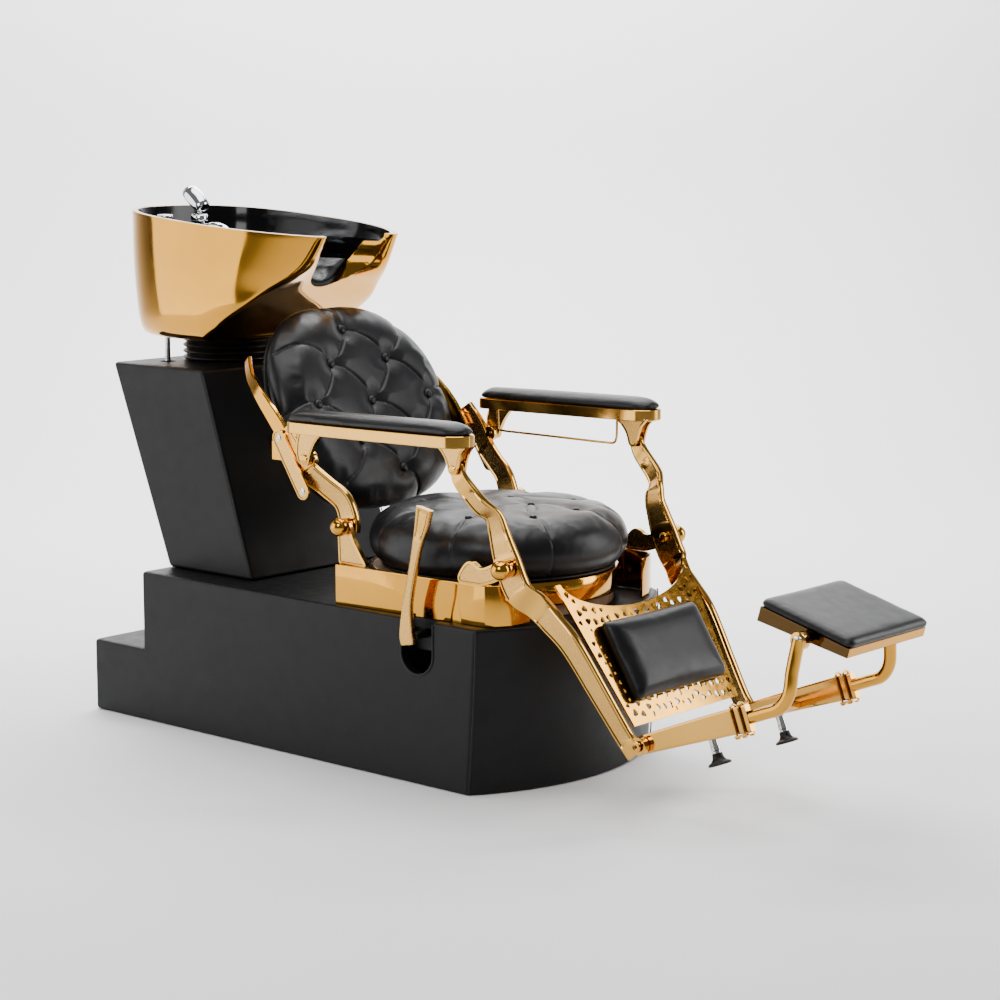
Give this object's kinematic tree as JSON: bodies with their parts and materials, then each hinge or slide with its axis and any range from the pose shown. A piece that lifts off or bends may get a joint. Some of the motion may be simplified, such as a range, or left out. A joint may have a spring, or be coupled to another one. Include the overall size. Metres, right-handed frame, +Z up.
{
  "type": "shampoo backwash unit",
  "caption": "Shampoo backwash unit: reclining tufted chair with armrests, leg rest and footplate on a padded plinth, with a tilting basin, mixer and neck rest behind it.",
  "frame": {"origin": "on the floor, at the centre of the plinth's footprint, on the underside of the plinth's base board", "axes": "+Z up, +Y from the chair towards the basin, +X towards the occupant's left"},
  "size_m": [0.624, 1.8119, 1.0929],
  "materials": {
    "black_leather": "smooth black upholstery leather with a soft sheen",
    "gold_castings": "polished gold plating over cast and tubular metal, satin inset panels",
    "gold_basin": "mirror gold coating outside, gloss black glaze inside",
    "chrome_fittings": "polished chrome",
    "gloss_black_gel": "gloss black moulded gel",
    "black_rubber": "matt black rubber",
    "steel_inside": "plain zinc-plated steel",
    "plywood": "dark sealed plywood",
    "grey_pipe": "grey plumbing plastic"
  },
  "bodies": {
    "base": {"plinth_shell": "black_leather", "plinth_base_board": "plywood", "column_shell": "black_leather", "waste_pipe": "grey_pipe", "hot_water_hose": "steel_inside", "cold_water_hose": "steel_inside", "basin_tilt_bracket": "steel_inside", "basin_bellows": "black_rubber", "seat_skirt_right": "gold_castings", "seat_skirt_left": "gold_castings", "seat_ring": "gold_castings", "seat_base": "plywood", "seat_cushion": "black_leather", "rear_bracket_right": "gold_castings", "rear_bracket_left": "gold_castings", "front_bracket_right": "gold_castings", "front_bracket_left": "gold_castings", "rear_pivot_pin_right": "gold_castings", "rear_pivot_pin_left": "gold_castings", "front_pivot_pin_right": "gold_castings", "front_pivot_pin_left": "gold_castings", "recline_lock": "steel_inside"},
    "basin": {"basin_bowl": "gold_basin", "neck_rest": "gloss_black_gel", "drain_strainer": "chrome_fittings", "drain_tailpiece": "chrome_fittings", "basin_hinge_bracket": "steel_inside", "mixer_body": "chrome_fittings", "spray_hose": "chrome_fittings", "hand_spray": "chrome_fittings"},
    "mixer_head": {"mixer_cap": "chrome_fittings"},
    "mixer_handle": {"mixer_lever": "chrome_fittings"},
    "backrest": {"back_casting_right": "gold_castings", "back_casting_left": "gold_castings", "link_plate_right": "gold_castings", "link_plate_left": "gold_castings", "back_frame": "gold_castings", "back_board": "black_leather", "back_cushion": "black_leather"},
    "armrest_right": {"armrest_frame_right": "gold_castings", "armrest_pad_right": "black_leather"},
    "armrest_left": {"armrest_frame_left": "gold_castings", "armrest_pad_left": "black_leather", "towel_rail": "gold_castings"},
    "legrest": {"leg_casting_right": "gold_castings", "leg_casting_left": "gold_castings", "fretwork_plate": "gold_castings", "calf_pad": "black_leather"},
    "foot_frame": {"side_arm_right": "gold_castings", "side_arm_left": "gold_castings", "foot_cross_bar": "gold_castings", "glide_right": "black_rubber", "glide_left": "black_rubber", "foot_tube_right": "gold_castings", "foot_tube_left": "gold_castings", "tube_clamp_right": "gold_castings", "tube_clamp_left": "gold_castings"},
    "footplate": {"foot_tray": "gold_castings", "foot_pad": "black_leather"},
    "release_lever": {"recline_lever": "gold_castings"}
  },
  "joints": [
    {"name": "back_recline", "type": "hinge", "parent": "base", "child": "backrest", "pos_m": [0, -0.138, 0.4635], "axis": [-1, 0, 0], "range_deg": [0, 12]},
    {"name": "armrest_right_swing", "type": "hinge", "parent": "backrest", "child": "armrest_right", "pos_m": [-0.264, -0.062, 0.588], "axis": [-1, 0, 0], "range_deg": [-11.9, 0.2]},
    {"name": "armrest_left_swing", "type": "hinge", "parent": "backrest", "child": "armrest_left", "pos_m": [0.264, -0.062, 0.588], "axis": [-1, 0, 0], "range_deg": [-11.9, 0.2]},
    {"name": "leg_swing", "type": "hinge", "parent": "base", "child": "legrest", "pos_m": [0, -0.542, 0.4277], "axis": [-1, 0, 0], "range_deg": [0, 8.6]},
    {"name": "foot_frame_swing", "type": "hinge", "parent": "legrest", "child": "foot_frame", "pos_m": [0, -0.795, 0.132], "axis": [-1, 0, 0], "range_deg": [-25, 12]},
    {"name": "footplate_tilt", "type": "hinge", "parent": "foot_frame", "child": "footplate", "pos_m": [0, -1.105, 0.359], "axis": [-1, 0, 0], "range_deg": [-30, 20]},
    {"name": "basin_tilt", "type": "hinge", "parent": "base", "child": "basin", "pos_m": [0, 0.44, 0.753], "axis": [-1, 0, 0], "range_deg": [-4, 6], "deforming": ["basin_bellows"]},
    {"name": "mixer_swivel", "type": "hinge", "parent": "basin", "child": "mixer_head", "pos_m": [0, 0.53, 1.02], "axis": [0, 0, 1], "range_deg": [-40, 40]},
    {"name": "mixer_lift", "type": "hinge", "parent": "mixer_head", "child": "mixer_handle", "pos_m": [0, 0.53, 1.0395], "axis": [1, 0, 0], "range_deg": [0, 20]},
    {"name": "release_lever_swing", "type": "hinge", "parent": "base", "child": "release_lever", "pos_m": [-0.286, -0.346, 0.284], "axis": [1, 0, 0], "range_deg": [0, 20], "stiffness_Nm_per_rad": 2, "springref_deg": -8.59}
  ],
  "couplings": [
    {"joint": "leg_swing", "follows": "back_recline", "ratio": 0.7},
    {"joint": "armrest_right_swing", "follows": "back_recline", "ratio": -0.982},
    {"joint": "armrest_left_swing", "follows": "back_recline", "ratio": -0.982}
  ]
}
